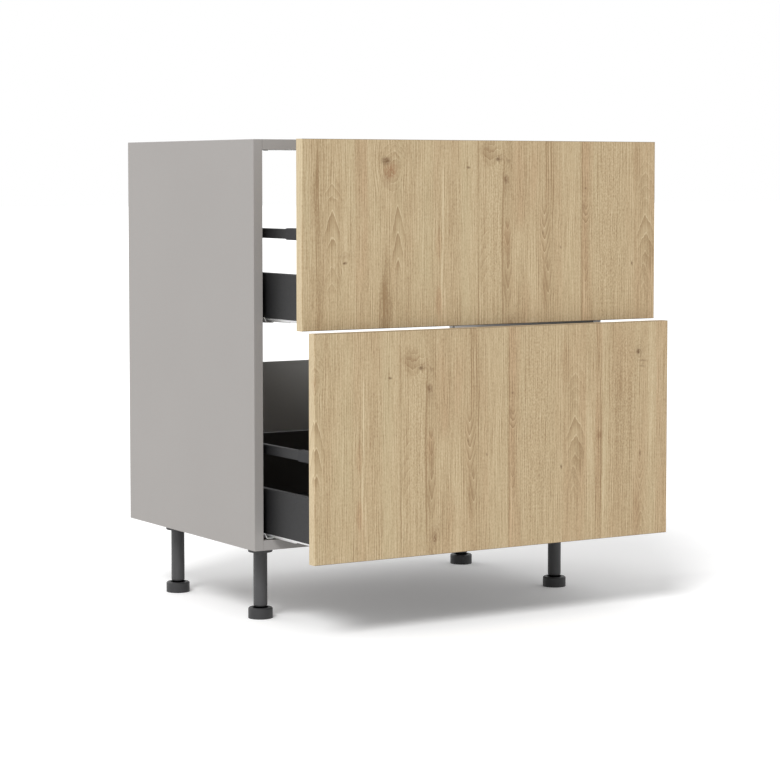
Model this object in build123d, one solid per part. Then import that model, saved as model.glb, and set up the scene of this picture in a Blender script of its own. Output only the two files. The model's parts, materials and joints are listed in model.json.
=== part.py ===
from build123d import *
import os

# Kitchen base cabinet with two drawers, in millimetres.
# X runs across the cabinet from its middle, Y from the carcass front edges to the back, Z up from the floor.
# Both drawers are drawn partly open. At the end everything is shifted along Y, so that the origin lies
# on the floor under the middle of the whole object.

# ---- Driving dimensions ----

# Carcass boards
carcass_width = 800.0
carcass_height = 768.0
carcass_depth = 533.0
panel_thickness = 19.0
panel_edge_radius = 0.8
top_rail_depth = 100.0
back_board_thickness = 8.0
back_board_top = 310.0            # above the carcass underside
groove_depth = 8.0
groove_from_rear = 13.0
groove_clearance = 0.2
worktop_hole_radius = 3.0
worktop_hole_spacing = 560.0

# Dowels and cam fittings that join the boards
dowel_radius = 4.0
dowel_length = 30.0
dowel_depth_in_side = 11.0
dowel_from_cam = 32.0
cam_radius = 7.5
cam_height = 12.5
cam_cap_radius = 5.4
cam_cap_height = 1.5
cam_distance = 34.0               # from the board's end to the cam's axis
cam_edge_distance = 50.0
cam_bolt_radius = 3.0
cam_bolt_head_radius = 3.6
cam_bolt_thread_radius = 2.5
cam_bolt_thread_length = 11.0
bore_clearance = 0.1

# Legs
leg_height = 142.3                # floor to carcass underside
leg_inset_side = 55.6
leg_inset_front = 80.4
leg_inset_rear = 104.1
socket_radius = 23.5
socket_height = 15.0
socket_plate = 4.0
socket_wall = 1.5
socket_rib_count = 4
leg_tube_radius = 13.35
leg_tube_wall = 1.55
leg_tube_chamfer = 2.0
leg_clearance = 0.3
foot_radius = 23.5
foot_height = 20.5
foot_chamfer = 2.0
foot_wall = 3.0
foot_recess_depth = 14.0
neck_gap = 3.0                    # foot top to tube end, as set in the photograph
stem_length = 70.0

# Drawer fronts
front_thickness = 20.0
front_side_margin = 2.0
front_bottom_margin = 2.3
front_top_margin = 1.4
front_gap = 2.0
lower_front_height = 416.5
front_edge_radius = 1.2
front_stand_off = 1.0             # front's rear face to carcass edge when closed
upper_open = 156.0                # how far each drawer is drawn out here
lower_open = 200.0

# Drawer boxes
drawer_length = 500.0
upper_drawer_level = 435.6        # side's lower edge above the carcass underside
lower_drawer_level = 30.3
side_gap = 12.0                   # carcass panel to drawer side
side_height = 84.4
side_width = 14.0
side_sheet = 1.0
side_corner_radius = 1.5
ledge_height = 14.0               # top of the ledge that carries the bottom board
ledge_width = 12.0
drawer_board_thickness = 16.0
drawer_back_thickness = 16.0
upper_back_top = 62.0             # above the side's lower edge
lower_back_top = 157.0
fit_gap = 0.3                     # clearance between pieces that fit into each other

# Gallery rails and their ends
rail_level = 149.0                # rail's underside above the side's lower edge
rail_height = 18.3
rail_width = 12.0
rail_wall = 1.2
rail_corner_radius = 2.0
sleeve_length = 92.0
sleeve_wall = 1.4
sleeve_chamfer = 2.0
sleeve_plate = 3.0
rear_bracket_plate = 3.0
rear_bracket_plug = 15.0
rear_pocket_depth = 10.0
front_bracket_plate = 2.5
front_bracket_length = 60.0

# Runners
runner_sheet = 1.2
runner_bend = 2.0
runner_length = 500.0
runner_setback = 3.0
middle_length = 470.0
middle_setback = 5.0
rail_lip = -5.5                   # heights here are above the side's lower edge
crest_height = 0.9
crest_width = 4.4
trough_level = -8.3
trough_start = 9.2                # from the panel
tab_width = 18.0
tab_top = 21.0
tab_positions = (37.0, 261.0, 453.0)
middle_member_bottom = -6.3
middle_wall_gap = 1.9             # between the walls of the middle and the drawer member
drawer_member_bottom = -3.2
drawer_member_width = 22.6
roller_gap = 0.3
lower_roller_radius = 1.5
upper_roller_radius = 2.5
lower_roller_positions = (300.0, 440.0)   # from the middle member's front end
upper_roller_positions = (30.0, 200.0)

# Screws
screw_radius = 2.5
screw_head_radius = 4.8
screw_head_height = 2.2
screw_depth = 12.0
leg_screw_radius = 1.75
leg_screw_head_radius = 3.0
leg_screw_head_height = 2.0
leg_screw_depth = 13.0
front_screw_radius = 2.0
front_screw_head_radius = 3.8
front_screw_head_height = 2.0
front_screw_depth = 14.0

# ---- Levels and faces worked out from them ----

half_width = carcass_width / 2
inner_half_width = half_width - panel_thickness
carcass_base = leg_height
floor_of_carcass = carcass_base + panel_thickness
carcass_top = carcass_base + carcass_height
front_half_width = half_width - front_side_margin

upper_rear_face = -(front_stand_off + upper_open)     # rear face of each drawer front
lower_rear_face = -(front_stand_off + lower_open)
lower_front_base = carcass_base + front_bottom_margin
upper_front_base = lower_front_base + lower_front_height + front_gap
upper_front_height = carcass_top - front_top_margin - upper_front_base

side_outer = inner_half_width - side_gap              # distances from the middle plane, left or right
side_inner = side_outer - side_width
groove_width = back_board_thickness + 2 * groove_clearance
groove_rear = carcass_depth - groove_from_rear
groove_front = groove_rear - groove_width

object_front = lower_rear_face - front_thickness
object_rear = carcass_depth
origin_y = (object_front + object_rear) / 2

DRAWERS = (
    ("upper", carcass_base + upper_drawer_level, upper_rear_face, upper_open, upper_back_top),
    ("lower", carcass_base + lower_drawer_level, lower_rear_face, lower_open, lower_back_top),
)


# ---- Helpers ----

def block(x, y, z):
    """A box given by its low and high corner along each axis."""
    size = (x[1] - x[0], y[1] - y[0], z[1] - z[0])
    return Pos(x[0], y[0], z[0]) * Box(*size, align=Align.MIN)


def along_y(section, start, length):
    """An X-Z section drawn out from start towards the back."""
    plane = Plane(origin=(0, start, 0), x_dir=(1, 0, 0), z_dir=(0, -1, 0))
    return extrude(plane * section, amount=-length)


def bent_sheet(points, bend, thickness, start, length):
    """A folded strip of even thickness whose middle line follows the X-Z points."""
    return along_y(trace(FilletPolyline(*points, radius=bend), line_width=thickness), start, length)


def rod(radius, length, at, direction):
    """A round bar from a point, along a direction."""
    plane = Plane(origin=at, z_dir=direction)
    return extrude(plane * Circle(radius), amount=length)


def screw(at, direction, radius, depth, head_radius, head_height):
    """A screw whose head sits on the surface at a point, with the shank going in along direction."""
    inward = Vector(*direction)
    head = rod(head_radius, head_height, at, -inward)
    head = chamfer(head.faces().sort_by(Axis(at, tuple(-inward)))[-1].edges(), head_height * 0.4)
    return head + rod(radius, depth, at, inward)


def mirrored(shape):
    """The same piece on the other side of the middle plane."""
    return mirror(shape, about=Plane.YZ)


def group(*shapes):
    """Separate solids kept in one node."""
    solids = []
    for shape in shapes:
        solids += shape.solids()
    return Compound(solids)


nodes = {}


def add(name, shape):
    nodes[name] = shape


def add_pair(name, left_shape):
    add(f"{name}_left", left_shape)
    add(f"{name}_right", mirrored(left_shape))


# ---- Places shared by boards and fittings ----

def board_joints():
    """Each dowel and cam on the left end of the bottom panel and of the top rail, as height, Y and kind."""
    bottom_middle = carcass_base + panel_thickness / 2
    rail_middle = carcass_top - panel_thickness / 2
    rear_cam = carcass_depth - cam_edge_distance
    rail_cam = top_rail_depth / 2
    return [
        (bottom_middle, cam_edge_distance - dowel_from_cam, "dowel"),
        (bottom_middle, cam_edge_distance, "cam"),
        (bottom_middle, carcass_depth / 2, "dowel"),
        (bottom_middle, rear_cam - dowel_from_cam, "dowel"),
        (bottom_middle, rear_cam, "cam"),
        (rail_middle, rail_cam - dowel_from_cam, "dowel"),
        (rail_middle, rail_cam, "cam"),
        (rail_middle, rail_cam + dowel_from_cam, "dowel"),
    ]


def leg_places():
    front = leg_inset_front
    rear = carcass_depth - leg_inset_rear
    x = half_width - leg_inset_side
    return {
        "front_left": (-x, front), "front_right": (x, front),
        "rear_left": (-x, rear), "rear_right": (x, rear),
    }


def leg_screw_offsets():
    """Places of a socket's four screws, midway between the tube's wall and the skirt."""
    ring = (leg_tube_radius + leg_clearance + socket_wall + socket_radius - socket_wall) / 2
    return [(ring, 0), (0, ring), (-ring, 0), (0, -ring)]


# ---- Carcass ----

def dowel(height, y):
    start = (-inner_half_width - dowel_depth_in_side, y, height)
    bar = rod(dowel_radius, dowel_length, start, (1, 0, 0))
    return chamfer(bar.edges(), dowel_radius / 6)


def dowel_bore(height, y):
    start = (-inner_half_width - dowel_depth_in_side - fit_gap, y, height)
    return rod(dowel_radius + bore_clearance, dowel_length + 2 * fit_gap, start, (1, 0, 0))


def cam_bolt(height, y):
    """Threaded end in the side panel, plain shank along the board, head inside the cam."""
    face = -inner_half_width
    thread = rod(cam_bolt_thread_radius, cam_bolt_thread_length, (face, y, height), (-1, 0, 0))
    shank_length = cam_distance - cam_bolt_head_radius
    shank = rod(cam_bolt_radius, shank_length, (face, y, height), (1, 0, 0))
    head_start = (face + shank_length, y, height)
    head = rod(cam_bolt_head_radius, cam_bolt_head_radius, head_start, (1, 0, 0))
    return thread + shank + head


def cam_bolt_bore(height, y):
    face = -inner_half_width
    start = (face - cam_bolt_thread_length - bore_clearance, y, height)
    thread = rod(cam_bolt_thread_radius + bore_clearance, cam_bolt_thread_length + 2 * bore_clearance,
                 start, (1, 0, 0))
    shank = rod(cam_bolt_head_radius + bore_clearance, cam_distance, (face, y, height), (1, 0, 0))
    return thread + shank


def cam_underside(height):
    return height - panel_thickness / 2


def cam_fitting(height, y):
    """Eccentric drum pushed up into the board from below, with a low bevelled cap."""
    axis_x = -inner_half_width + cam_distance
    base = cam_underside(height)
    drum = rod(cam_radius, cam_height, (axis_x, y, base), (0, 0, 1))
    cap = rod(cam_cap_radius, cam_cap_height, (axis_x, y, base), (0, 0, -1))
    cap = chamfer(cap.faces().sort_by(Axis.Z)[0].edges(), cam_cap_height * 0.6)
    mouth = rod(cam_bolt_head_radius + fit_gap, cam_radius + cam_bolt_head_radius + fit_gap,
                (axis_x - cam_radius - fit_gap, y, height), (1, 0, 0))
    return drum + cap - mouth


def cam_bore(height, y):
    axis_x = -inner_half_width + cam_distance
    base = cam_underside(height)
    return rod(cam_radius + bore_clearance, cam_height + bore_clearance, (axis_x, y, base), (0, 0, 1))


def side_panel_left():
    panel = block((-half_width, -inner_half_width), (0, carcass_depth), (carcass_base, carcass_top))
    front_edges = panel.edges().filter_by(Axis.Z).sort_by(Axis.Y)[:2]
    panel = fillet(front_edges, panel_edge_radius)
    panel -= block((-inner_half_width - groove_depth, -inner_half_width), (groove_front, groove_rear),
                   (carcass_base, carcass_top))
    for height, y, kind in board_joints():
        panel -= dowel_bore(height, y) if kind == "dowel" else cam_bolt_bore(height, y)
    for _, level, _, _, _ in DRAWERS:
        for y in tab_positions:
            mouth = (-inner_half_width, y, level + tab_screw_height())
            panel -= rod(screw_radius + bore_clearance, screw_depth + bore_clearance, mouth, (-1, 0, 0))
    return panel


def end_cuts(board):
    """Bores for the dowels and cams at both ends of a board between the sides."""
    for height, y, kind in board_joints():
        box = board.bounding_box()
        if box.min.Z < height < box.max.Z:
            cut = dowel_bore(height, y) if kind == "dowel" else cam_bolt_bore(height, y) + cam_bore(height, y)
            board = board - cut - mirrored(cut)
    return board


def bottom_panel():
    panel = block((-inner_half_width, inner_half_width), (0, carcass_depth), (carcass_base, floor_of_carcass))
    panel -= block((-inner_half_width, inner_half_width), (groove_front, groove_rear),
                   (floor_of_carcass - groove_depth, floor_of_carcass))
    for x, y in leg_places().values():
        for dx, dy in leg_screw_offsets():
            panel -= rod(leg_screw_radius + bore_clearance, leg_screw_depth - socket_plate + bore_clearance,
                         (x + dx, y + dy, carcass_base), (0, 0, 1))
    return end_cuts(panel)


def top_rail():
    rail = block((-inner_half_width, inner_half_width), (0, top_rail_depth),
                 (carcass_top - panel_thickness, carcass_top))
    for x in (-worktop_hole_spacing / 2, worktop_hole_spacing / 2):
        rail -= rod(worktop_hole_radius, panel_thickness, (x, top_rail_depth / 2, carcass_top), (0, 0, -1))
    return end_cuts(rail)


def back_board():
    reach = inner_half_width + groove_depth - groove_clearance
    return block((-reach, reach), (groove_front + groove_clearance, groove_rear - groove_clearance),
                 (floor_of_carcass - groove_depth, carcass_base + back_board_top))


def make_carcass():
    add("bottom_panel", bottom_panel())
    add("top_rail_front", top_rail())
    add_pair("side_panel", side_panel_left())
    add("back_panel_low", back_board())
    dowels, cams, bolts = [], [], []
    for height, y, kind in board_joints():
        if kind == "dowel":
            dowels.append(dowel(height, y))
        else:
            cams.append(cam_fitting(height, y))
            bolts.append(cam_bolt(height, y))
    for name, pieces in (("panel_dowels", dowels), ("cam_fittings", cams), ("cam_bolts", bolts)):
        add(name, group(*pieces, *[mirrored(piece) for piece in pieces]))


# ---- Legs ----

def leg_socket():
    """Moulded cup under the panel: a plate, a collar round the tube, a skirt and ribs between them."""
    bore = leg_tube_radius + leg_clearance
    collar = bore + socket_wall
    top = carcass_base
    plate_underside = top - socket_plate
    rim = top - socket_height
    cup = rod(socket_radius, socket_height, (0, 0, rim), (0, 0, 1))
    cup = chamfer(cup.faces().sort_by(Axis.Z)[0].edges(), socket_wall * 0.6)
    cup -= rod(socket_radius - socket_wall, plate_underside - rim, (0, 0, rim), (0, 0, 1))
    cup += rod(collar, plate_underside - rim, (0, 0, rim), (0, 0, 1))
    for turn in range(socket_rib_count):
        rib = block((bore, socket_radius - socket_wall / 2), (-socket_wall / 2, socket_wall / 2),
                    (rim + socket_wall, plate_underside))
        cup += Rot(0, 0, 45 + turn * 360 / socket_rib_count) * rib
    cup -= rod(bore, plate_underside - rim, (0, 0, rim), (0, 0, 1))
    for dx, dy in leg_screw_offsets():
        cup -= rod(leg_screw_radius + bore_clearance, socket_plate, (dx, dy, top), (0, 0, -1))
    return cup


def leg_tube():
    base = foot_height + neck_gap
    length = carcass_base - socket_plate - base
    tube = rod(leg_tube_radius, length, (0, 0, base), (0, 0, 1))
    tube = chamfer(tube.faces().sort_by(Axis.Z)[0].edges(), leg_tube_chamfer, leg_tube_wall * 0.6)
    return tube - rod(leg_tube_radius - leg_tube_wall, length, (0, 0, base), (0, 0, 1))


def levelling_foot():
    """Foot disc, hollow below with a ring and ribs, and the stem that screws up into the tube."""
    disc = rod(foot_radius, foot_height, (0, 0, 0), (0, 0, 1))
    disc = chamfer(disc.faces().sort_by(Axis.Z)[-1].edges(), foot_chamfer)
    stem_radius = leg_tube_radius - leg_tube_wall - leg_clearance
    recess = rod(foot_radius - foot_wall, foot_recess_depth, (0, 0, 0), (0, 0, 1))
    recess -= rod(stem_radius, foot_recess_depth, (0, 0, 0), (0, 0, 1))
    rib = block((-foot_radius + foot_wall, foot_radius - foot_wall), (-foot_wall / 2, foot_wall / 2),
                (foot_wall, foot_recess_depth))
    disc -= recess - rib - Rot(0, 0, 90) * rib
    stem = rod(stem_radius, stem_length, (0, 0, foot_height), (0, 0, 1))
    stem = chamfer(stem.faces().sort_by(Axis.Z)[-1].edges(), leg_tube_wall)
    return disc + stem


def make_legs():
    screws = []
    for place, (x, y) in leg_places().items():
        add(f"leg_socket_{place}", Pos(x, y, 0) * leg_socket())
        add(f"leg_tube_{place}", Pos(x, y, 0) * leg_tube())
        add(f"foot_{place}", Pos(x, y, 0) * levelling_foot())
        for dx, dy in leg_screw_offsets():
            seat = (x + dx, y + dy, carcass_base - socket_plate)
            screws.append(screw(seat, (0, 0, 1), leg_screw_radius, leg_screw_depth,
                                leg_screw_head_radius, leg_screw_head_height))
    add("leg_screws", group(*screws))


# ---- Runners, drawn for the left side ----
# Their sections are given by the distance from the panel's inner face and the height above the
# drawer side's lower edge.

wall_line = side_gap + side_sheet + fit_gap           # outer face of the drawer member
ledge_underside = ledge_height - side_sheet
half_sheet = runner_sheet / 2
middle_left = wall_line + runner_sheet + middle_wall_gap + half_sheet
middle_right = wall_line + drawer_member_width - runner_sheet - middle_wall_gap - half_sheet
middle_line = (middle_left + middle_right) / 2
drawer_web = ledge_underside - half_sheet
middle_web = drawer_web - runner_sheet - 2 * (upper_roller_radius + roller_gap)
rib_top = middle_web - half_sheet - 2 * (lower_roller_radius + roller_gap)


def tab_screw_height():
    return (tab_top + crest_height) / 2


def at_panel(points, level):
    """Section points turned from panel distance and height above the drawer side into X and Z."""
    return [(-inner_half_width + across, level + up) for across, up in points]


def cabinet_member(level):
    """Rolled rail: a crest beside the panel, a trough, and the rib that the rollers run on."""
    points = [(half_sheet, rail_lip), (half_sheet, crest_height), (half_sheet + crest_width, crest_height),
              (trough_start, trough_level), (middle_line, trough_level), (middle_line, rib_top)]
    rail = bent_sheet(at_panel(points, level), runner_bend, runner_sheet, runner_setback, runner_length)
    face = -inner_half_width
    for y in tab_positions:
        tab = block((face, face + runner_sheet), (y - tab_width / 2, y + tab_width / 2),
                    (level + rail_lip, level + tab_top))
        corners = tab.edges().filter_by(Axis.X).group_by(Axis.Z)[-1]
        tab = fillet(corners, tab_width / 5)
        hole = rod(screw_radius + fit_gap, runner_sheet, (face, y, level + tab_screw_height()), (1, 0, 0))
        rail = rail + tab - hole
    return rail


def middle_start(opening):
    return middle_setback - opening / 2


def middle_member(level, opening):
    points = [(middle_left, middle_member_bottom), (middle_left, middle_web),
              (middle_right, middle_web), (middle_right, middle_member_bottom)]
    return bent_sheet(at_panel(points, level), runner_bend, runner_sheet, middle_start(opening), middle_length)


def drawer_member(level, rear_face):
    left = wall_line + half_sheet
    right = wall_line + drawer_member_width - half_sheet
    points = [(left, drawer_member_bottom), (left, drawer_web),
              (right, drawer_web), (right, drawer_member_bottom)]
    return bent_sheet(at_panel(points, level), runner_bend, runner_sheet, rear_face + fit_gap,
                      drawer_length - 2 * fit_gap)


def roller(radius, level, up, y, from_across, to_across):
    """A roller lying across the runner."""
    start = (-inner_half_width + from_across, y, level + up)
    bar = rod(radius, to_across - from_across, start, (1, 0, 0))
    return chamfer(bar.edges(), radius / 4)


def rollers(level, opening):
    """Small rollers on the cabinet member's rib and larger ones under the drawer member."""
    start = middle_start(opening)
    inner_left = middle_left + half_sheet + runner_bend / 2
    inner_right = middle_right - half_sheet - runner_bend / 2
    low = rib_top + roller_gap + lower_roller_radius
    high = middle_web + half_sheet + roller_gap + upper_roller_radius
    bars = [roller(lower_roller_radius, level, low, start + y, inner_left, inner_right)
            for y in lower_roller_positions]
    bars += [roller(upper_roller_radius, level, high, start + y, middle_left, middle_right)
             for y in upper_roller_positions]
    return group(*bars)


def make_runners():
    screws = []
    for name, level, rear_face, opening, _ in DRAWERS:
        add_pair(f"{name}_cabinet_runner", cabinet_member(level))
        add_pair(f"{name}_middle_runner", middle_member(level, opening))
        add_pair(f"{name}_drawer_runner", drawer_member(level, rear_face))
        add_pair(f"{name}_rollers", rollers(level, opening))
        for y in tab_positions:
            seat = (-inner_half_width + runner_sheet, y, level + tab_screw_height())
            one = screw(seat, (-1, 0, 0), screw_radius, screw_depth + runner_sheet,
                        screw_head_radius, screw_head_height)
            screws += [one, mirrored(one)]
    add("runner_screws", group(*screws))


# ---- Drawers, drawn for the left side ----

def rear_end(rear_face):
    """Where the steel sides stop and the rear brackets' plates begin."""
    return rear_face + drawer_length - rear_bracket_plate


def rail_box():
    """Distances of the gallery rail's outer and inner faces from the panel."""
    outer = side_gap + (side_width - rail_width) / 2
    return outer, outer + rail_width


def front_board(name):
    rear_face = upper_rear_face if name == "upper" else lower_rear_face
    base = upper_front_base if name == "upper" else lower_front_base
    height = upper_front_height if name == "upper" else lower_front_height
    board = block((-front_half_width, front_half_width), (rear_face - front_thickness, rear_face),
                  (base, base + height))
    return fillet(board.edges().filter_by(Axis.Y, reverse=True).group_by(Axis.Y)[0], front_edge_radius)


def front_screw_places(level):
    """Height and distance from the panel of the screws behind one end of a front."""
    middle = side_gap + side_width / 2
    return [(level + side_height * 0.35, middle), (level + side_height * 0.75, middle),
            (level + rail_level + rail_height / 2, middle)]


def drawer_side(level, rear_face):
    """Double wall folded from one sheet: outer wall, top, inner wall and the ledge for the board."""
    half = side_sheet / 2
    outer, inner = side_gap + half, side_gap + side_width - half
    points = [(outer, 0), (outer, side_height - half), (inner, side_height - half),
              (inner, ledge_height - half), (inner + ledge_width, ledge_height - half)]
    return bent_sheet(at_panel(points, level), side_corner_radius, side_sheet, rear_face + fit_gap,
                      rear_end(rear_face) - rear_face - fit_gap)


def drawer_bottom(level, rear_face):
    reach = side_inner - fit_gap
    base = level + ledge_height
    board = block((-reach, reach), (rear_face + fit_gap, rear_end(rear_face)),
                  (base, base + drawer_board_thickness))
    return chamfer(board.edges().filter_by(Axis.Y).group_by(Axis.Z)[0], side_corner_radius)


def drawer_back(level, rear_face, back_top):
    """Board standing on the rear edge of the drawer's bottom."""
    reach = side_inner - fit_gap
    rear = rear_end(rear_face)
    return block((-reach, reach), (rear - drawer_back_thickness, rear),
                 (level + ledge_height + drawer_board_thickness, level + back_top))


def gallery_rail(level, rear_face):
    """Rectangular tube from inside the front sleeve to the pocket in the rear bracket."""
    outer, inner = rail_box()
    middle = (outer + inner) / 2
    centre = (-inner_half_width + middle, level + rail_level + rail_height / 2)
    section = RectangleRounded(rail_width, rail_height, rail_corner_radius)
    section -= RectangleRounded(rail_width - 2 * rail_wall, rail_height - 2 * rail_wall,
                                rail_corner_radius - rail_wall * 0.5)
    start = rear_face + sleeve_plate + fit_gap
    end = rear_end(rear_face) - fit_gap
    return along_y(Pos(*centre) * section, start, end - start)


def gallery_sleeve(level, rear_face):
    """Thicker end piece that closes on the front and takes the rail."""
    outer, inner = rail_box()
    middle = (outer + inner) / 2
    centre = (-inner_half_width + middle, level + rail_level + rail_height / 2)
    wall = sleeve_wall + fit_gap
    outside = RectangleRounded(rail_width + 2 * wall, rail_height + 2 * wall, rail_corner_radius + wall * 0.5)
    inside = RectangleRounded(rail_width + 2 * fit_gap, rail_height + 2 * fit_gap, rail_corner_radius)
    body = along_y(Pos(*centre) * outside, rear_face, sleeve_length)
    body = chamfer(body.faces().sort_by(Axis.Y)[-1].edges(), sleeve_chamfer, sleeve_wall * 0.9)
    body -= along_y(Pos(*centre) * inside, rear_face + sleeve_plate, sleeve_length)
    height, across = front_screw_places(level)[-1]
    return body - rod(front_screw_radius + bore_clearance, sleeve_plate,
                      (-inner_half_width + across, rear_face, height), (0, 1, 0))


def rear_bracket(level, rear_face):
    """Plug in the open end of the side, end plate, and a post whose pocket holds the rail."""
    x_outer = -inner_half_width + side_gap
    x_inner = x_outer + side_width
    rail_outer, rail_inner = (-inner_half_width + edge for edge in rail_box())
    rear = rear_end(rear_face)
    post_top = level + rail_level + rail_height + sleeve_wall
    plate = block((x_outer, x_inner), (rear, rear + rear_bracket_plate), (level + ledge_height, post_top))
    plate = fillet(plate.edges().filter_by(Axis.Y).group_by(Axis.Z)[-1], side_width / 4)
    plug = block((x_outer + side_sheet + fit_gap, x_inner - side_sheet - fit_gap),
                 (rear - rear_bracket_plug, rear),
                 (level + ledge_height + fit_gap, level + side_height - side_sheet - fit_gap))
    hollow = block((x_outer + side_sheet + fit_gap + rear_bracket_plate / 2,
                    x_inner - side_sheet - fit_gap - rear_bracket_plate / 2),
                   (rear - rear_bracket_plug, rear),
                   (level + ledge_height + rear_bracket_plate, level + side_height - rear_bracket_plate * 2))
    post = block((x_outer, x_inner), (rear - rear_pocket_depth - rear_bracket_plate, rear),
                 (level + side_height + fit_gap, post_top))
    post = fillet(post.edges().filter_by(Axis.Y).group_by(Axis.Z)[-1], side_width / 4)
    web_cut = block((x_outer - fit_gap, x_inner - rear_bracket_plate),
                    (rear - rear_pocket_depth, rear),
                    (level + side_height + rear_bracket_plate, level + rail_level - rear_bracket_plate))
    pocket = block((rail_outer - fit_gap, rail_inner + fit_gap),
                   (rear - rear_pocket_depth - rear_bracket_plate, rear),
                   (level + rail_level - fit_gap, level + rail_level + rail_height + fit_gap))
    return plate + (plug - hollow) + (post - web_cut - pocket)


def front_bracket(level, rear_face):
    """Steel channel inside the side's front end, with a flange screwed to the front."""
    x_outer = -inner_half_width + side_gap + side_sheet + fit_gap
    x_inner = -inner_half_width + side_gap + side_width - side_sheet - fit_gap
    z_low = level + ledge_height + fit_gap
    z_high = level + side_height - side_sheet - fit_gap
    body = block((x_outer, x_inner), (rear_face, rear_face + front_bracket_length), (z_low, z_high))
    tail = body.edges().filter_by(Axis.X).group_by(Axis.Y)[-1]
    body = chamfer(tail, front_bracket_length / 5)
    body -= block((x_outer + side_sheet * 1.5, x_inner - side_sheet * 1.5),
                  (rear_face + front_bracket_plate, rear_face + front_bracket_length), (z_low, z_high))
    for height, across in front_screw_places(level)[:2]:
        body -= rod(front_screw_radius + bore_clearance, front_bracket_plate,
                    (-inner_half_width + across, rear_face, height), (0, 1, 0))
    return body


def front_screws(level, rear_face):
    """Screws from inside each bracket and sleeve into the front, left end."""
    screws = []
    for index, (height, across) in enumerate(front_screw_places(level)):
        plate = front_bracket_plate if index < 2 else sleeve_plate
        seat = (-inner_half_width + across, rear_face + plate, height)
        screws.append(screw(seat, (0, -1, 0), front_screw_radius, plate + front_screw_depth,
                            front_screw_head_radius, front_screw_head_height))
    return screws


def front_with_bores(name, level, rear_face):
    board = front_board(name)
    for height, across in front_screw_places(level):
        bore = rod(front_screw_radius + bore_clearance, front_screw_depth + bore_clearance,
                   (-inner_half_width + across, rear_face, height), (0, -1, 0))
        board = board - bore - mirrored(bore)
    return board


def make_drawers():
    for name, level, rear_face, _, back_top in DRAWERS:
        add(f"{name}_front", front_with_bores(name, level, rear_face))
        add_pair(f"{name}_drawer_side", drawer_side(level, rear_face))
        add(f"{name}_drawer_bottom", drawer_bottom(level, rear_face))
        add(f"{name}_drawer_back", drawer_back(level, rear_face, back_top))
        add_pair(f"{name}_gallery_rail", gallery_rail(level, rear_face))
        for piece, make in (("gallery_sleeves", gallery_sleeve), ("rear_brackets", rear_bracket),
                            ("front_brackets", front_bracket)):
            left = make(level, rear_face)
            add(f"{name}_{piece}", group(left, mirrored(left)))
        screws = front_screws(level, rear_face)
        add(f"{name}_front_screws", group(*screws, *[mirrored(one) for one in screws]))


make_carcass()
make_legs()
make_runners()
make_drawers()

os.makedirs("parts", exist_ok=True)
for node, shape in nodes.items():
    export_step(group(Pos(0, -origin_y, 0) * shape), f"parts/{node}.step")
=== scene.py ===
import json
import math

import bpy
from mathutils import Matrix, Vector


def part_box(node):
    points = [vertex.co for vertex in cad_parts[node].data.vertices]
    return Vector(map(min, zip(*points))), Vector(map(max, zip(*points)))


# The looks of a base cabinet with two drawers. Lengths are in metres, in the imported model's frame: X to the
# right, Y to the back and Z up from the floor.

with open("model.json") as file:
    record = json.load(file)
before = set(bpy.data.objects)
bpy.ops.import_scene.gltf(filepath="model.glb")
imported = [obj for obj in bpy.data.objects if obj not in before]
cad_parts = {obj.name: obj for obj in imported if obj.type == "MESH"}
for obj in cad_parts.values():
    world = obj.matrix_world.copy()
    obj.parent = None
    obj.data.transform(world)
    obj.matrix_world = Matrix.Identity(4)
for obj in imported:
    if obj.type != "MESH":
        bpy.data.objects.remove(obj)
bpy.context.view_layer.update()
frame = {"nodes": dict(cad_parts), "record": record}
nodes = frame["nodes"]


# ---- Arithmetic on node sockets ----

def feed(tree, slot, item):
    """Links a Value to the slot, or sets a plain number on it."""
    if isinstance(item, Value):
        tree.links.new(item.socket, slot)
    else:
        slot.default_value = item


class Value:
    """A number in a material's node tree. Arithmetic on it adds Math nodes."""

    def __init__(self, tree, socket):
        self.tree = tree
        self.socket = socket

    def math(self, operation, *others):
        node = self.tree.nodes.new("ShaderNodeMath")
        node.operation = operation
        for slot, item in zip(node.inputs, (self, *others)):
            feed(self.tree, slot, item)
        return Value(self.tree, node.outputs[0])

    def __add__(self, other):
        return self.math("ADD", other)

    def __mul__(self, other):
        return self.math("MULTIPLY", other)

    def __sub__(self, other):
        return self.math("SUBTRACT", other)

    def abs(self):
        return self.math("ABSOLUTE")

    def fract(self):
        return self.math("FRACT")

    def root(self):
        return self.math("SQRT")

    def least(self, other):
        return self.math("MINIMUM", other)

    def most(self, other):
        return self.math("MAXIMUM", other)

    def above(self, limit):
        return self.math("GREATER_THAN", limit)

    def below(self, limit):
        return self.math("LESS_THAN", limit)

    def times_plus(self, factor, addend):
        return self.math("MULTIPLY_ADD", factor, addend)

    def swing(self, reach):
        """Turns a number from 0 to 1 into one from -reach to reach."""
        return self.times_plus(2 * reach, -reach)

    def ramp(self, low, high, start=0.0, end=1.0):
        """From start at low to end at high, smooth and held outside."""
        node = self.tree.nodes.new("ShaderNodeMapRange")
        node.interpolation_type = "SMOOTHSTEP"
        self.tree.links.new(self.socket, node.inputs["Value"])
        for name, number in (("From Min", low), ("From Max", high), ("To Min", start), ("To Max", end)):
            node.inputs[name].default_value = number
        return Value(self.tree, node.outputs["Result"])

    def spread(self, start=0.0, end=1.0):
        """A noise stretched to run from start to end. Nearly all of a noise lies between 0.3 and 0.7."""
        return self.ramp(0.3, 0.7, start, end)


# A Mix node has slots for each kind of data. These are the places of those for colours.
MIX_COLOURS_IN = (6, 7)
MIX_COLOUR_OUT = 2


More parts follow.
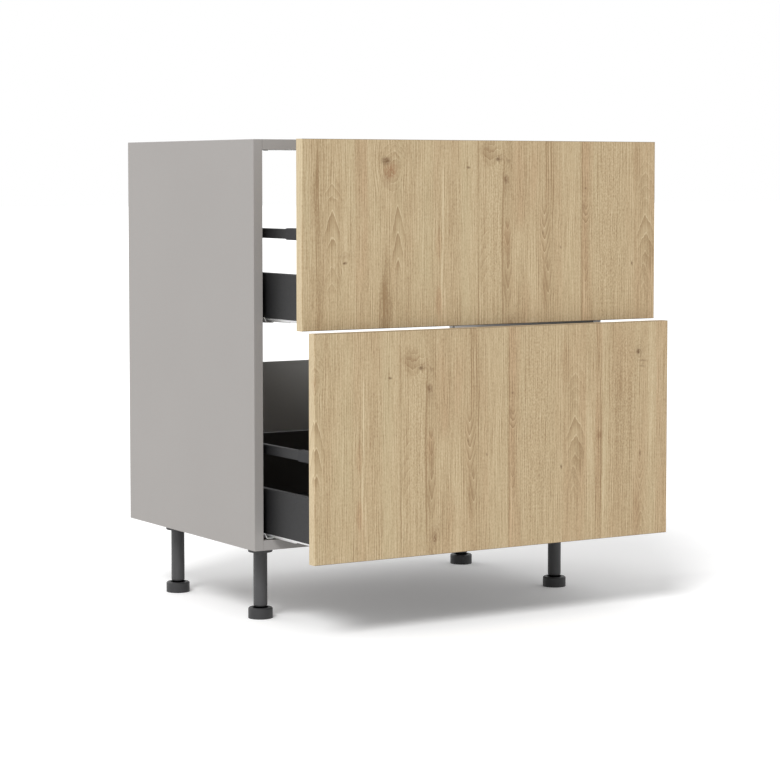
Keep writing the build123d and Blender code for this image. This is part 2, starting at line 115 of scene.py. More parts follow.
class Finish:
    """A material under construction."""

    def __init__(self, name, roughness=0.5, metallic=0.0, specular=0.5):
        self.material = bpy.data.materials.new(name)
        self.material.use_nodes = True
        self.tree = self.material.node_tree
        self.shader = self.tree.nodes["Principled BSDF"]
        self.shader.inputs["Roughness"].default_value = roughness
        self.shader.inputs["Metallic"].default_value = metallic
        self.shader.inputs["Specular IOR Level"].default_value = specular
        place = self.tree.nodes.new("ShaderNodeTexCoord")
        split = self.tree.nodes.new("ShaderNodeSeparateXYZ")
        self.tree.links.new(place.outputs["Object"], split.inputs[0])
        self.x, self.y, self.z = (Value(self.tree, out) for out in split.outputs)

    def vector(self, *parts):
        node = self.tree.nodes.new("ShaderNodeCombineXYZ")
        for slot, item in zip(node.inputs, parts):
            feed(self.tree, slot, item)
        return node.outputs[0]

    def noise(self, sizes, detail=2.0, rough=0.5, offset=0.0, at=None):
        """Noise from 0 to 1, whose blobs measure about sizes along X, Y and Z, or along the values of at."""
        x, y, z = at or (self.x, self.y, self.z)
        node = self.tree.nodes.new("ShaderNodeTexNoise")
        node.inputs["Scale"].default_value = 1.0
        node.inputs["Detail"].default_value = detail
        node.inputs["Roughness"].default_value = rough
        parts = [part * (1.0 / size) + offset for part, size in zip((x, y, z), sizes)]
        self.tree.links.new(self.vector(*parts), node.inputs["Vector"])
        return Value(self.tree, node.outputs["Fac"])

    def cells(self, size):
        """A random colour for each of many cells, about one size across."""
        node = self.tree.nodes.new("ShaderNodeTexVoronoi")
        node.inputs["Scale"].default_value = 1.0
        parts = [part * (1.0 / size) for part in (self.x, self.y, self.z)]
        self.tree.links.new(self.vector(*parts), node.inputs["Vector"])
        return node.outputs["Color"]

    def distance(self, point, u, v, half_width, half_height):
        """How far point is from u and v, as a share of the half sizes."""
        scale = self.tree.nodes.new("ShaderNodeVectorMath")
        scale.operation = "MULTIPLY_ADD"
        self.tree.links.new(point, scale.inputs[0])
        scale.inputs[1].default_value = (1 / half_width, 1 / half_height, 0.0)
        scale.inputs[2].default_value = (-u / half_width, -v / half_height, 0.0)
        reach = self.tree.nodes.new("ShaderNodeVectorMath")
        reach.operation = "LENGTH"
        self.tree.links.new(scale.outputs["Vector"], reach.inputs[0])
        return Value(self.tree, reach.outputs["Value"])

    def ellipse(self, point, u, v, half_width, half_height, core, rim):
        """1 inside core, 0 beyond rim, both as shares of the half sizes round u and v."""
        return self.distance(point, u, v, half_width, half_height).ramp(core, rim, 1.0, 0.0)

    def mix(self, amount, first, second, blend="MIX"):
        """From first, at an amount of 0, to second. Colours are sockets, or sRGB values from 0 to 255."""
        node = self.tree.nodes.new("ShaderNodeMix")
        node.data_type = "RGBA"
        node.blend_type = blend
        feed(self.tree, node.inputs["Factor"], amount)
        for place, colour in zip(MIX_COLOURS_IN, (first, second)):
            if isinstance(colour, bpy.types.NodeSocket):
                self.tree.links.new(colour, node.inputs[place])
            else:
                node.inputs[place].default_value = rgb(colour)
        return node.outputs[MIX_COLOUR_OUT]

    def colour(self, socket):
        self.tree.links.new(socket, self.shader.inputs["Base Color"])

    def rough(self, value):
        self.tree.links.new(value.socket, self.shader.inputs["Roughness"])

    def shine(self, value):
        self.tree.links.new(value.socket, self.shader.inputs["Specular IOR Level"])

    def bump(self, height, depth):
        """height from 0 to 1 stands for depth, in metres."""
        node = self.tree.nodes.new("ShaderNodeBump")
        node.inputs["Strength"].default_value = 1.0
        node.inputs["Distance"].default_value = depth
        self.tree.links.new(height.socket, node.inputs["Height"])
        self.tree.links.new(node.outputs["Normal"], self.shader.inputs["Normal"])

    def normal(self):
        """The face's own normal, as X, Y and Z parts."""
        place = self.tree.nodes.new("ShaderNodeTexCoord")
        split = self.tree.nodes.new("ShaderNodeSeparateXYZ")
        self.tree.links.new(place.outputs["Normal"], split.inputs[0])
        return [Value(self.tree, out) for out in split.outputs]


def rgb(colour):
    """Blender's linear colour from sRGB values."""
    parts = [c / 255 for c in colour]
    return [c / 12.92 if c <= 0.04045 else ((c + 0.055) / 1.055) ** 2.4 for c in parts] + [1.0]


def shifted(tone, step):
    """tone with each part step higher, or lower where step is below 0."""
    return [part + step for part in tone]


# ---- Board, metal and plastic finishes ----

# Colours are sRGB values from 0 to 255.
CARCASS_GREY = (157, 153, 150)
CARCASS_SPECK = (148, 144, 141)
# Painted light: the carcass boards' faces that look to the front are a shade lighter than their sides.
CARCASS_FRONT_LIT = (167, 164, 162)
# Painted light: the low back board is the carcass board made lighter, for light that is lacking inside the
# cabinet.
BACK_LIT_GREY = (176, 175, 173)
BACK_LIT_SPECK = (166, 165, 163)
DRAWER_GREY = (47, 47, 48)
DRAWER_SPECK = (60, 60, 61)
ANTHRACITE = (30, 30, 31)
SLEEVE_BLACK = (33, 33, 35)
LEG_GREY = (64, 64, 65)
FOOT_GREY = (54, 54, 55)
# Painted shade on top of the feet, under the legs' tubes.
SOCKET_SHADE_BLACK = (8, 8, 8)
RUNNER_ZINC = (236, 236, 236)
FASTENER_ZINC = (200, 200, 198)
CAM_ZINC = (196, 196, 192)
NYLON_WHITE = (216, 215, 210)
BEECH_PLAIN = (206, 170, 126)
BEECH_PALE = (226, 195, 152)
BEECH_FLECK = (168, 122, 80)

# A face looks along an axis if that part of its normal is above this.
LOOKS_ALONG = 0.7


def melamine(name, tone, speck, roughness, front_lit_tone=None):
    """Coated board: a nearly even tone with a fine pearl structure pressed into it. The faces that look to
    the front may get a lighter tone, which is painted light."""
    grain = 0.0006
    f = Finish(name, roughness=roughness, specular=0.4)
    cloud = f.noise((0.25,) * 3, detail=3.0).spread()
    fleck = f.noise((grain,) * 3, detail=1.0).ramp(0.35, 0.65)
    base = f.mix(cloud, tone, shifted(tone, 2))
    if front_lit_tone:
        # Painted light on the faces that look to the front.
        base = f.mix(f.normal()[1].below(-LOOKS_ALONG), base, front_lit_tone)
    f.colour(f.mix(fleck * 0.35, base, speck))
    pearl = f.noise((grain * 1.6,) * 3, detail=2.0, offset=7.0)
    f.rough(pearl.spread(roughness - 0.05, roughness + 0.07))
    f.bump(pearl, 0.00003)
    return f.material


def powder_coat(name, tone, roughness):
    """Painted steel: a fine orange-peel skin, a little dusty, with the odd lighter fleck."""
    f = Finish(name, roughness=roughness, specular=0.3)
    peel = f.noise((0.0011,) * 3, detail=2.0)
    fleck = f.noise((0.0004,) * 3, detail=0.0, offset=3.0).ramp(0.62, 0.8)
    dusty = f.noise((0.09, 0.09, 0.05), detail=3.0, offset=11.0).ramp(0.35, 0.75)
    base = f.mix(dusty * 0.5, tone, shifted(tone, 7))
    f.colour(f.mix(fleck * 0.5, base, shifted(tone, 24)))
    f.rough(peel.spread(roughness - 0.06, roughness + 0.08))
    f.bump(peel, 0.00005)
    return f.material


def moulded(name, tone, roughness, grain=0.0007, specular=0.5):
    """Moulded plastic: an eroded matt skin, a little paler and rougher in patches."""
    f = Finish(name, roughness=roughness, specular=specular)
    skin = f.noise((grain,) * 3, detail=3.0, rough=0.6)
    patch = f.noise((0.02, 0.02, 0.03), detail=3.0, offset=5.0).ramp(0.35, 0.7)
    f.colour(f.mix(patch, tone, shifted(tone, 6)))
    f.rough(patch * 0.1 + skin.spread(roughness - 0.08, roughness + 0.06))
    f.bump(skin, 0.00004)
    return f.material


# Painted shade: a black ring on the foot's top and stem stands for the shade in the gap under the leg's tube.
FOOT_TOP = 0.0195           # just under the foot's top face
NECK_TOP = 0.0245           # just inside the leg's tube, above which the foot's stem is plain
NECK_FADE = 0.002           # height over which the painted shade ends there
SOCKET_SHADE_RADII = (0.0165, 0.0150)   # where the painted shade ends and where it is full
SCUFF_HEIGHT = 0.008


def foot_plastic(name, tone, roughness):
    """The leg's plastic, scuffed near the floor, with painted shade: a black ring without gloss round the stem
    on top of the foot, where the leg's tube shades it.
    """
    specular = 0.4
    f = Finish(name, roughness=roughness, specular=specular)
    skin = f.noise((0.0007,) * 3, detail=3.0, rough=0.6)
    front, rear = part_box("foot_front_right"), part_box("foot_rear_right")
    away_x = f.x.abs() - (front[0].x + front[1].x) / 2
    away_y = [f.y - (box[0].y + box[1].y) / 2 for box in (front, rear)]
    from_stem = (away_x * away_x + (away_y[0] * away_y[0]).least(away_y[1] * away_y[1])).root()
    # Painted shade: black on the foot's top and stem, under the leg's tube.
    ring = from_stem.ramp(*SOCKET_SHADE_RADII) * f.z.above(FOOT_TOP) * f.z.ramp(NECK_TOP + NECK_FADE, NECK_TOP)
    scuff = f.noise((0.006, 0.006, 0.002), detail=3.0, offset=5.0).ramp(0.55, 0.75)
    base = f.mix(scuff * f.z.ramp(SCUFF_HEIGHT, 0.0) * 0.6, tone, shifted(tone, 22))
    f.colour(f.mix(ring, base, SOCKET_SHADE_BLACK))
    # The painted shade has no gloss.
    f.shine(ring.times_plus(-specular, specular))
    f.rough(skin.spread(roughness - 0.08, roughness + 0.06))
    f.bump(skin, 0.00004)
    return f.material


def rolled_zinc(name, tone, roughness, metallic=1.0):
    """Zinc-plated steel: faint spangle, and fine lines drawn along Y, as the runners are rolled."""
    f = Finish(name, roughness=roughness, metallic=metallic)
    drawn = f.noise((0.0006, 0.05, 0.0006), detail=2.0)
    patch = f.noise((0.03, 0.06, 0.02), detail=3.0, offset=2.0)
    base = f.mix(drawn.spread(), shifted(tone, -22), tone)
    f.colour(f.mix(0.08, base, f.cells(0.004), blend="OVERLAY"))
    f.rough(drawn.ramp(0.25, 0.75, roughness - 0.08, roughness + 0.08) + patch.ramp(0.4, 0.7, 0.0, 0.08))
    f.bump(drawn, 0.00002)
    return f.material


def cast_zinc(name, tone):
    """Die-cast zinc: a fine grey skin, duller in its hollows."""
    f = Finish(name, roughness=0.42, metallic=1.0)
    skin = f.noise((0.0009,) * 3, detail=3.0)
    f.colour(f.mix(skin.ramp(0.35, 0.7), shifted(tone, -30), tone))
    f.rough(skin.spread(0.36, 0.52))
    f.bump(skin, 0.00004)
    return f.material


def beech(name):
    """Turned beech dowel, with its fibre and short brown flecks along X."""
    f = Finish(name, roughness=0.6, specular=0.3)
    fibre = f.noise((0.012, 0.0005, 0.0005), detail=3.0)
    fleck = f.noise((0.003, 0.0004, 0.0004), detail=1.0, offset=4.0).ramp(0.6, 0.75)
    base = f.mix(fibre.spread(), BEECH_PLAIN, BEECH_PALE)
    f.colour(f.mix(fleck * 0.6, base, BEECH_FLECK))
    f.bump(fibre, 0.00006)
    return f.material


# ---- Oak decor ----
# One sheet of decor covers both fronts. It is laid out in millimetres, u across and v up. On the upper front
# they are X and Z, and the lower front is cut from the same sheet further right and higher up.

MILLIMETRES = 1000          # in a metre
LOWER_CUT = (199.0, 382.5)
EDGE_CUT = -250             # u of the top and bottom edges where they meet a front's face
SHEET_LEFT = -400
SHEET_WIDTH = 1000

OAK_PALE = (214, 196, 161)
OAK_PLAIN = (191, 169, 133)
OAK_BROWN = (152, 125, 90)
OAK_DARK = (100, 72, 42)
OAK_COOL = (193, 179, 142)
OAK_WARM = (194, 159, 124)
OAK_RED = (166, 118, 80)
OAK_EDGE = (84, 71, 62)

# Tones run from about -1, pale, to 1, brown. Warmths run from about -1, greenish, to 1, reddish.

# Staves, each from its left edge to the next: left edge, tone and warmth. A colour ramp has room for 32 of
# them at most, so there are two ramps. The last stave before the split is added to all those after it.
STAVE_SPLIT = 18
STAVES = [
    (-400, -0.08, -0.4),
    (-383, 0.19, 0.1),
    (-372, 0.38, 0.2),
    (-361, 0.30, 0.2),
    (-353, 0.05, 0.0),
    (-318, -0.19, -0.3),
    (-290, 0.08, 0.5),
    (-262, -0.11, -0.1),
    (-233, 0.03, -0.1),
    (-183, 0.22, 0.1),
    (-166, -0.03, -0.4),
    (-122, 0.08, 0.3),
    (-96, 0.08, 0.2),
    (-60, -0.14, -0.4),
    (-17, 0.05, 0.1),
    (3, -0.03, -0.2),
    (37, 0.27, 0.1),
    (59, 0.08, 0.3),
    (97, -0.05, 0.1),
    (118, 0.11, 0.2),
    (171, -0.14, -0.5),
    (221, 0.16, 0.5),
    (231, 0.14, 0.4),
    (245, 0.00, -0.4),
    (326, -0.14, 0.0),
    (343, 0.14, 0.3),
    (363, 0.05, 0.1),
    (384, 0.08, 0.4),
    (400, -0.08, -0.1),
    (421, 0.16, 0.3),
    (437, -0.16, -0.4),
    (452, 0.16, 0.1),
    (506, 0.03, 0.1),
    (546, -0.14, -0.3),
    (568, 0.03, 0.4),
]

# Long patches and lines along the grain: u, v, half width, half height, tone and warmth.
PATCHES = [
    (-367, 800, 7, 90, 0.59, 0.1),
    (-366, 610, 6, 60, 0.42, 0.1),
    (-225, 590, 13, 70, 0.98, 0.1),
    (-219, 650, 14, 70, 0.31, 0.0),
    (-212, 596, 3.2, 30, 0.45, 0.0),
    (-204, 665, 9, 48, 0.14, 0.6),
    (-276, 850, 15, 70, 0.14, 0.4),
    (-143, 720, 20, 150, -0.08, -0.3),
    (-97, 790, 2.2, 75, -1.3, 0.0),
    (-99, 650, 2.2, 65, -1.3, 0.0),
    (-92, 600, 2.0, 50, -0.9, 0.0),
    (-106, 715, 7, 34, 0.14, 0.9),
    (-106, 612, 7, 30, 0.20, 1.0),
    (-78, 765, 9, 40, 0.17, 0.4),
    (4, 888, 22, 26, 0.42, 0.2),
    (48, 725, 9, 34, 0.22, 0.7),
    (48, 660, 10, 60, 0.22, 0.0),
    (80, 830, 34, 105, 0.17, 0.4),
    (78, 695, 18, 60, -0.20, -0.3),
    (78, 575, 19, 85, 0.17, 0.2),
    (107, 610, 11, 115, -0.36, -0.1),
    (133, 628, 6, 44, 0.56, 0.2),
    (229, 860, 9, 90, 0.28, 0.3),
    (230, 700, 8, 70, 0.22, 0.4),
    (226.5, 600, 2.2, 80, -0.90, 0.0),
    (352, 870, 12, 42, 0.22, 0.2),
    (410, 715, 8, 80, -0.48, -0.4),
    (418, 892, 24, 62, 0.22, 0.1),
    (386, 695, 11, 36, 0.48, 0.0),
    (384, 650, 14, 70, 0.14, 0.2),
    (429, 690, 7, 115, 0.20, 0.4),
    (470, 860, 22, 90, 0.22, 0.1),
    (480, 740, 10, 125, 0.17, 0.2),
    (521, 560, 8, 66, 0.56, 0.3),
    (443, 640, 4, 90, -0.60, -0.3),
    (556, 850, 10, 130, -0.28, -0.3),
    (-17.5, 740, 1.7, 260, 0.85, 0.0),
    (37.2, 700, 1.8, 200, 1.00, 0.0),
    (137.0, 880, 1.5, 130, 1.00, 0.0),
    (141.6, 880, 1.5, 110, 0.80, 0.0),
    (147.8, 870, 1.5, 135, 0.90, 0.0),
    (153.0, 800, 1.5, 110, 0.80, 0.0),
    (220.6, 740, 1.7, 260, 0.75, 0.0),
    (436.2, 680, 1.7, 150, 1.00, 0.0),
    (507.0, 785, 1.7, 105, 0.80, 0.0),
]

# Growth rings that close in arches: middle, tip, 1 for arches or -1 for valleys, ring height, slope of the
# sides, radius of the tip, then the middle, half width, middle height, half height and strength of the part
# of them that shows.
ARCHES = [
    (-335, 795, 1, 46, 3.0, 5.0, -335, 21, 752, 54, 1.10),
    (-334, 838, 1, 20, 1.7, 6.0, -334, 22, 815, 26, 0.80),
    (-336, 690, 1, 30, 2.4, 4.0, -336, 18, 655, 50, 0.50),
    (-195, 806, 1, 50, 4.2, 3.5, -195, 18, 735, 88, 1.10),
    (-206, 905, 1, 12, 1.2, 5.0, -200, 24, 888, 28, 0.60),
    (-26, 690, -1, 26, 1.7, 3.0, -5, 13, 690, 110, 0.50),
    (12, 880, -1, 13, 0.6, 7.0, 14, 26, 884, 26, 0.80),
    (49, 700, -1, 30, 3.4, 2.5, 49, 12, 730, 48, 0.75),
    (50, 612, -1, 38, 5.0, 2.5, 50, 14, 645, 54, 0.90),
    (133, 708, -1, 24, 3.6, 3.0, 134, 15, 732, 66, 1.30),
    (141, 640, -1, 40, 5.2, 3.0, 139, 16, 640, 58, 0.80),
    (230, 757, -1, 15, 2.2, 2.5, 230, 11, 768, 30, 1.30),
    (229, 650, -1, 22, 3.6, 2.0, 229, 10, 655, 42, 0.80),
    (376, 782, 1, 36, 2.3, 6.0, 376, 25, 735, 60, 0.95),
    (372, 650, 1, 40, 3.4, 4.0, 372, 20, 640, 60, 0.45),
    (376, 860, 1, 24, 1.6, 7.0, 376, 26, 835, 46, 0.50),
    (531, 664, -1, 18, 3.2, 2.0, 531, 14, 640, 50, 0.90),
    (533, 585, 1, 27, 3.4, 3.0, 533, 18, 575, 60, 0.70),
]

# Knots and spots: u, v, half width, half height, darkness and redness.
KNOTS = [
    (-221, 870, 12.5, 9.0, 0.85, 0.2),
    (-211, 852, 18.0, 19.0, 0.20, 0.65),
    (-219, 836, 11.0, 19.0, 0.22, 0.2),
    (-309, 684, 5.0, 3.0, 0.95, 0.1),
    (-308, 697, 12.0, 9.0, 0.16, 0.1),
    (-41, 858, 5.6, 2.8, 0.95, 0.0),
    (27, 874, 7.0, 4.6, 0.75, 0.1),
    (31, 877, 20.0, 9.0, 0.18, 0.1),
    (50, 871, 6.0, 4.0, 0.45, 0.1),
    (44, 836, 7.0, 10.0, 0.50, 0.2),
    (45, 826, 9.0, 24.0, 0.22, 0.1),
    (3, 888, 19.0, 14.0, 0.14, 0.1),
    (131, 735, 1.8, 5.5, 0.55, 0.0),
    (171, 706, 2.2, 3.6, 0.65, 0.0),
    (230, 819, 3.4, 3.4, 0.65, 0.0),
    (225, 782, 4.0, 13.0, 0.40, 0.2),
    (343, 673, 2.8, 5.4, 0.90, 0.0),
    (433, 728, 7.0, 8.0, 0.42, 0.35),
    (525, 886, 5.4, 6.0, 0.95, 0.0),
    (526, 884, 14.0, 16.0, 0.18, 0.0),
    (536, 868, 12.0, 2.8, 0.50, 0.0),
    (536, 857, 11.0, 2.6, 0.36, 0.0),
    (531, 688, 3.2, 8.0, 0.60, 0.2),
    (57, 557, 3.6, 14.0, 0.55, 0.3),
    (57, 566, 16.0, 22.0, 0.14, 0.1),
]

# Rings that run round a knot: u, v, spacing, height over width, reach and strength.
EYES = [
    (-208, 858, 9.0, 1.7, 38, 0.70),
    (-308, 690, 6.0, 1.3, 20, 0.50),
    (34, 868, 7.5, 1.1, 34, 0.60),
    (433, 728, 4.0, 1.6, 15, 0.50),
    (527, 882, 6.0, 1.6, 26, 0.55),
    (531, 688, 4.0, 2.2, 13, 0.50),
    (57, 560, 6.0, 2.0, 20, 0.45),
]

# Wood where the fine mesh across the grain is stronger: u, v, half width and half height.
MESHES = [
    (18, 730, 18, 140),
    (285, 750, 40, 200),
    (490, 790, 34, 160),
]

# Tone across one growth ring, by the share of its height: plain, then brown, then a thin pale outline.
RING_TONES = [(0.0, 0.0), (0.25, 0.0), (0.84, 0.62), (0.88, 0.60), (0.93, -0.80), (0.98, -0.60), (1.0, 0.0)]

# The grain bends round knots that are at least this dark and this wide.
BENDING_KNOT = (0.6, 4)

# How much paler the tone is on a front's two ends, which is painted light, and the share of the lines that is
# left inside the arches.
END_PAINTED_LIGHT = 0.7
CALM_LINES = 0.35

# Forward part of the normal on a front's rounded edges, where their darkening starts and where it is fullest.
ROUNDED_EDGE = (0.98, 0.85)


def stave_ramp(f, across, staves, plain_stops):
    """Tone and warmth of each stave, as two Values. Before the first stave come stops that have neither."""
    node = f.tree.nodes.new("ShaderNodeValToRGB")
    ramp = node.color_ramp
    ramp.interpolation = "CONSTANT"
    f.tree.links.new(across.socket, node.inputs["Fac"])
    while len(ramp.elements) < len(staves) + plain_stops:
        ramp.elements.new(1.0)
    ramp.elements[0].position = 0.0
    ramp.elements[0].color = (0.5, 0.5, 0.5, 1.0)
    for stop, (left, tone, warmth) in zip(list(ramp.elements)[plain_stops:], staves):
        stop.position = (left - SHEET_LEFT) / SHEET_WIDTH
        stop.color = (0.5 + tone / 2, 0.5 + warmth / 2, 0.5, 1.0)
    split = f.tree.nodes.new("ShaderNodeSeparateColor")
    f.tree.links.new(node.outputs["Color"], split.inputs[0])
    return [Value(f.tree, out).swing(1.0) for out in split.outputs[:2]]


def ring_profile(f, phase):
    """Growth rings, one for each whole step of phase. 0 to 1 stands for tones from -1 to 1."""
    node = f.tree.nodes.new("ShaderNodeValToRGB")
    ramp = node.color_ramp
    while len(ramp.elements) < len(RING_TONES):
        ramp.elements.new(1.0)
    for stop, (place, tone) in zip(ramp.elements, RING_TONES):
        stop.position = place
        stop.color = (0.5 + tone / 2,) * 3 + (1.0,)
    f.tree.links.new(phase.fract().socket, node.inputs["Fac"])
    return Value(f.tree, node.outputs["Color"])


def oak(name, upper_face, lower_face, split_height):
    """Oak decor, printed and pressed along the grain. upper_face and lower_face are the Y of the fronts'
    outer faces, and split_height is a Z between the two fronts."""
    f = Finish(name, roughness=0.5, specular=0.35)
    lower = f.z.below(split_height)
    depth = (f.y - upper_face - lower * (lower_face - upper_face)) * MILLIMETRES
    x = f.x * MILLIMETRES + lower * LOWER_CUT[0]
    z = f.z * MILLIMETRES + lower * LOWER_CUT[1]
    sideways, forward, upward = f.normal()
    # The top and bottom edges come from elsewhere on the sheet, with their grain along X.
    flat = upward.abs().above(LOOKS_ALONG)
    upright = flat.times_plus(-1.0, 1.0)
    u = (x + depth * 0.9) * upright + (depth * 1.3 + EDGE_CUT) * flat
    v = z * upright + x * flat

    # The grain sways a little and flows round the knots.
    sway = f.noise((90, 1, 380), detail=2.0, at=(u, 0.0, v)).swing(4.5)
    ripple = f.noise((20, 1, 60), detail=2.0, offset=9.0, at=(u, 0.0, v)).swing(2.5)
    bent = u + sway + ripple
    flow = f.vector(u, v, 0.0)
    for knot_u, knot_v, wide, high, dark, _ in KNOTS:
        if dark >= BENDING_KNOT[0] and wide >= BENDING_KNOT[1]:
            pull = f.ellipse(flow, knot_u, knot_v, wide * 2.4, high * 4.0 + 8.0, 0.1, 1.6)
            bent = bent - (bent - knot_u) * pull * 0.45

    # Lines and shades along the grain. The lines are where a streak differs from what is just beside it.
    streak = f.noise((2.4, 1, 130), detail=1.0, rough=0.6, offset=13.0, at=(bent, 0.0, v))
    beside = f.noise((2.4, 1, 130), detail=1.0, rough=0.6, offset=13.0, at=(bent + 1.6, 0.0, v))
    fibre = f.noise((1.6, 1, 15), detail=2.0, rough=0.7, offset=17.0, at=(bent, 0.0, v))
    mesh = f.noise((2.8, 1, 4.5), detail=1.0, offset=61.0, at=(u, 0.0, v)).swing(1.05)
    lines = (streak - beside) * 2.7 + fibre.swing(1.05) + mesh * 0.8
    spread = f.noise((15, 1, 460), offset=1.0, at=(bent, 0.0, v)).swing(0.35)
    tone = f.noise((12, 1, 70), detail=3.0, offset=51.0, at=(bent, 0.0, v)).swing(0.65) + spread
    warmth = f.noise((34, 1, 210), offset=37.0, at=(u, 0.0, v)).swing(1.2)

    ragged = (bent + streak.swing(6.0) - SHEET_LEFT) * (1 / SHEET_WIDTH)
    for staves, plain_stops in ((STAVES[:STAVE_SPLIT], 0), (STAVES[STAVE_SPLIT:], 1)):
        more_tone, more_warmth = stave_ramp(f, ragged, staves, plain_stops)
        tone, warmth = tone + more_tone, warmth + more_warmth
    place = f.vector(bent, v, 0.0)
    for middle_u, middle_v, wide, high, more_tone, more_warmth in PATCHES:
        patch = f.ellipse(place, middle_u, middle_v, wide, high, 0.5, 1.3)
        tone = patch.times_plus(more_tone, tone)
        if more_warmth:
            warmth = patch.times_plus(more_warmth, warmth)
    for middle_u, middle_v, wide, high in MESHES:
        tone = mesh.times_plus(f.ellipse(place, middle_u, middle_v, wide, high, 0.5, 1.3) * 0.6, tone)

    # The lines are weaker inside the arches.
    wander = f.noise((9, 1, 24), detail=2.0, offset=3.0, at=(u, 0.0, v)).swing(8.0)
    wavy = wander + v
    calm = 0.0
    for middle, tip, way, height, slope, radius, shown_u, wide, shown_v, high, strength in ARCHES:
        across = bent - middle
        rise = wavy.times_plus(way / height, -tip * way / height)
        phase = across.times_plus(across, radius * radius).root().times_plus(slope / height, rise)
        window = f.ellipse(place, shown_u, shown_v, wide, high, 0.5, 1.1)
        tone = ring_profile(f, phase).swing(1.2 * strength).times_plus(window, tone)
        calm = window.times_plus(strength * 0.7, calm)
    # The fronts' ends are made paler: painted light.
    tone = lines * calm.ramp(0.0, 1.0, 1.0, CALM_LINES) + tone - sideways.abs().above(LOOKS_ALONG) * END_PAINTED_LIGHT

    for middle_u, middle_v, spacing, tall, reach, strength in EYES:
        distance = f.distance(place, middle_u, middle_v, 1.0, tall)
        phase = (distance + wander * 0.3) * (1 / spacing)
        window = distance.ramp(reach * 0.4, reach, strength, 0.0)
        tone = ring_profile(f, phase).swing(1.0).times_plus(window, tone)

    spots = f.vector(u + ripple, v + ripple, 0.0)
    darkness, redness = 0.0, 0.0
    for middle_u, middle_v, wide, high, dark, red in KNOTS:
        spot = f.ellipse(spots, middle_u, middle_v, wide, high, 0.1, 1.25)
        darkness = spot.times_plus(dark, darkness)
        if red:
            redness = spot.times_plus(red, redness)
    grime = f.noise((3, 1, 4), detail=3.0, rough=0.6, offset=41.0, at=(u, 0.0, v)).ramp(0.32, 0.6, 0.45, 1.0)

    base = f.mix(tone.ramp(-1.7, 0.3), OAK_PALE, OAK_PLAIN)
    base = f.mix(warmth.ramp(0.1, -1.4) * 0.4, base, OAK_COOL)
    base = f.mix(warmth.ramp(0.1, 1.6) * 0.5, base, OAK_WARM)
    base = f.mix(tone.ramp(-0.3, 1.7), base, OAK_BROWN)

    # Short open pores, denser in the browner wood.
    pore = f.noise((0.55, 1, 9), detail=1.0, offset=29.0, at=(bent, 0.0, v)).ramp(0.60, 0.74)
    base = f.mix(pore * tone.ramp(-0.8, 0.6, 0.1, 0.4), base, OAK_DARK)
    base = f.mix(redness * grime * grime, base, OAK_RED)
    base = f.mix(darkness * grime, base, OAK_DARK)
    # The rounded edges are made darker, but for the one beside the left end.
    rounded = forward.abs().ramp(*ROUNDED_EDGE) * forward.abs().above(0.1) * sideways.above(-0.1)
    base = f.mix(rounded * 0.8, base, OAK_EDGE)
    f.colour(base)

    f.rough(streak.spread(0.46, 0.56) + pore * 0.1)
    f.bump(streak * 0.5 + fibre * 0.3 - pore * 0.6, 0.00012)
    return f.material


# ---- Finishes on the CAD pieces ----

upper_low, lower_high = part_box("upper_front")[0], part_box("lower_front")[1]
finishes = {
    "oak_front": oak("oak_decor", upper_low.y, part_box("lower_front")[0].y, (upper_low.z + lower_high.z) / 2),
    "carcass_board": melamine("carcass_melamine", CARCASS_GREY, CARCASS_SPECK, 0.48, CARCASS_FRONT_LIT),
    "drawer_board": melamine("drawer_melamine", DRAWER_GREY, DRAWER_SPECK, 0.5),
    "drawer_steel": powder_coat("anthracite_coat", ANTHRACITE, 0.5),
    "sleeve_plastic": moulded("sleeve_plastic", SLEEVE_BLACK, 0.5, grain=0.0005, specular=0.26),
    "galvanised": rolled_zinc("rolled_zinc", RUNNER_ZINC, 0.4, metallic=0.7),
    "leg_plastic": moulded("leg_plastic", LEG_GREY, 0.5),
    "fastener_steel": rolled_zinc("fastener_zinc", FASTENER_ZINC, 0.34),
    "cam_zinc": cast_zinc("cast_zinc", CAM_ZINC),
    "dowel_wood": beech("dowel_beech"),
    "roller_nylon": moulded("roller_nylon", NYLON_WHITE, 0.4, grain=0.0004),
}
# The same board as the carcass, made lighter as painted light.
back_board = melamine("back_board_lit_melamine", BACK_LIT_GREY, BACK_LIT_SPECK, 0.5)
feet = foot_plastic("foot_plastic", FOOT_GREY, 0.5)
for entry in frame["record"]["subparts"]:
    node = entry["node"]
    finish = finishes[entry["material_slot"]]
    if node == "back_panel_low":
        finish = back_board
    elif node.startswith("foot_"):
        finish = feet
    data = nodes[node].data
    data.materials.clear()
    data.materials.append(finish)


# ---- Floor, background and light ----

WHITE = (1.0, 1.0, 1.0, 1.0)
FLOOR_REACH = 60.0          # from the middle to each side
FLOOR_GLOW = 0.12           # lifts the floor where no shadow falls to pure white
FLOOR_GREY = (0.70, 0.70, 0.70, 1.0)


def pick_by_view(tree, thrown, seen):
    """The seen shader for what the camera, a reflection or a view through glass shows, and the thrown one for
    the light that falls on other things."""
    path = tree.nodes.new("ShaderNodeLightPath")
    names = ("Is Camera Ray", "Is Glossy Ray", "Is Transmission Ray")
    camera_ray, glossy_ray, glass_ray = (Value(tree, path.outputs[name]) for name in names)
    pick = tree.nodes.new("ShaderNodeMixShader")
    tree.links.new(camera_ray.most(glossy_ray).most(glass_ray).socket, pick.inputs[0])
    tree.links.new(thrown.outputs[0], pick.inputs[1])
    tree.links.new(seen.outputs[0], pick.inputs[2])
    return pick.outputs[0]


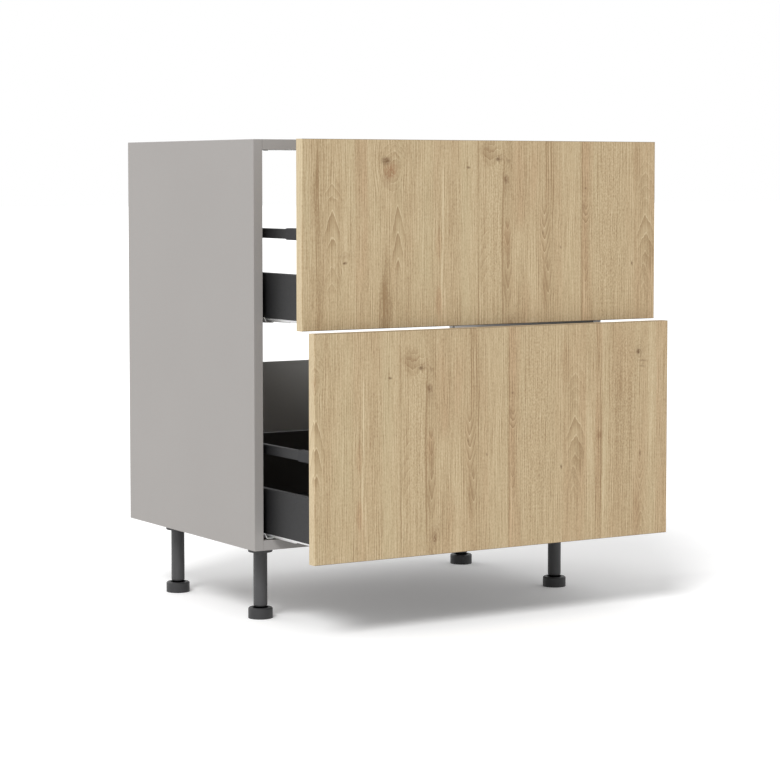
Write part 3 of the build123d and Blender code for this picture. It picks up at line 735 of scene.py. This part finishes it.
def floor_material():
    """White to the camera, plain to the light it throws back, and it keeps the object's shadow."""
    material = bpy.data.materials.new("floor_white")
    material.use_nodes = True
    tree = material.node_tree
    tree.nodes.clear()
    out = tree.nodes.new("ShaderNodeOutputMaterial")
    white = tree.nodes.new("ShaderNodeBsdfDiffuse")
    white.inputs["Color"].default_value = WHITE
    glow = tree.nodes.new("ShaderNodeEmission")
    glow.inputs["Strength"].default_value = FLOOR_GLOW
    both = tree.nodes.new("ShaderNodeAddShader")
    tree.links.new(white.outputs[0], both.inputs[0])
    tree.links.new(glow.outputs[0], both.inputs[1])
    plain = tree.nodes.new("ShaderNodeBsdfDiffuse")
    plain.inputs["Color"].default_value = FLOOR_GREY
    tree.links.new(pick_by_view(tree, plain, both), out.inputs["Surface"])
    return material


def make_floor():
    corners = [(x * FLOOR_REACH, y * FLOOR_REACH, 0) for x, y in ((-1, -1), (1, -1), (1, 1), (-1, 1))]
    mesh = bpy.data.meshes.new("floor")
    mesh.from_pydata(corners, [], [(0, 1, 2, 3)])
    floor = bpy.data.objects.new("floor", mesh)
    bpy.context.scene.collection.objects.link(floor)
    mesh.materials.append(floor_material())


def make_world(level):
    """Soft light of that level from all round, and pure white where the camera or a reflection sees it."""
    world = bpy.data.worlds.new("studio")
    bpy.context.scene.world = world
    world.use_nodes = True
    tree = world.node_tree
    tree.nodes.clear()
    out = tree.nodes.new("ShaderNodeOutputWorld")
    light, white = (tree.nodes.new("ShaderNodeBackground") for _ in range(2))
    for background, strength in ((light, level), (white, 1.0)):
        background.inputs["Color"].default_value = WHITE
        background.inputs["Strength"].default_value = strength
    tree.links.new(pick_by_view(tree, light, white), out.inputs["Surface"])


def far_light(name, toward, spread, level):
    """A soft light from far off, in the direction toward and spread degrees wide. level is what a white face
    turned to it gets."""
    lamp = bpy.data.lights.new(name, "SUN")
    lamp.angle = math.radians(spread)
    lamp.energy = level * math.pi
    holder = bpy.data.objects.new(name, lamp)
    bpy.context.scene.collection.objects.link(holder)
    holder.rotation_euler = (-Vector(toward)).to_track_quat("-Z", "Y").to_euler()


make_floor()
make_world(level=0.68)
far_light("key", toward=(-0.565, -0.470, 0.678), spread=20.0, level=0.59)
far_light("fill", toward=(-0.429, 0.786, 0.444), spread=45.0, level=0.16)


# ---- Camera ----
# The photograph's verticals are parallel, as a level camera with a vertical shift would show them. A small
# downward tilt takes the place of most of that shift here, so that other views keep the whole object in the
# frame.

CAMERA_PLACE = (-2.5530, -4.1195, 0.8395)
CAMERA_YAW = 31.7469        # degrees, as is the dip
CAMERA_DIP = 3.7183
CAMERA_SENSOR = 36.0        # millimetres, as is the lens
CAMERA_LENS = 112.148
CAMERA_SHIFT = (-0.00137, -0.07)
CAMERA_CLIP = (0.1, 200.0)

view = bpy.data.cameras.new("camera")
view.sensor_width = CAMERA_SENSOR
view.lens = CAMERA_LENS
view.shift_x, view.shift_y = CAMERA_SHIFT
view.clip_start, view.clip_end = CAMERA_CLIP
camera = bpy.data.objects.new("camera", view)
camera.location = CAMERA_PLACE
camera.rotation_euler = (math.radians(90.0 - CAMERA_DIP), 0.0, math.radians(-CAMERA_YAW))
bpy.context.scene.collection.objects.link(camera)
bpy.context.scene.camera = camera

bpy.context.scene.view_settings.view_transform = "Standard"
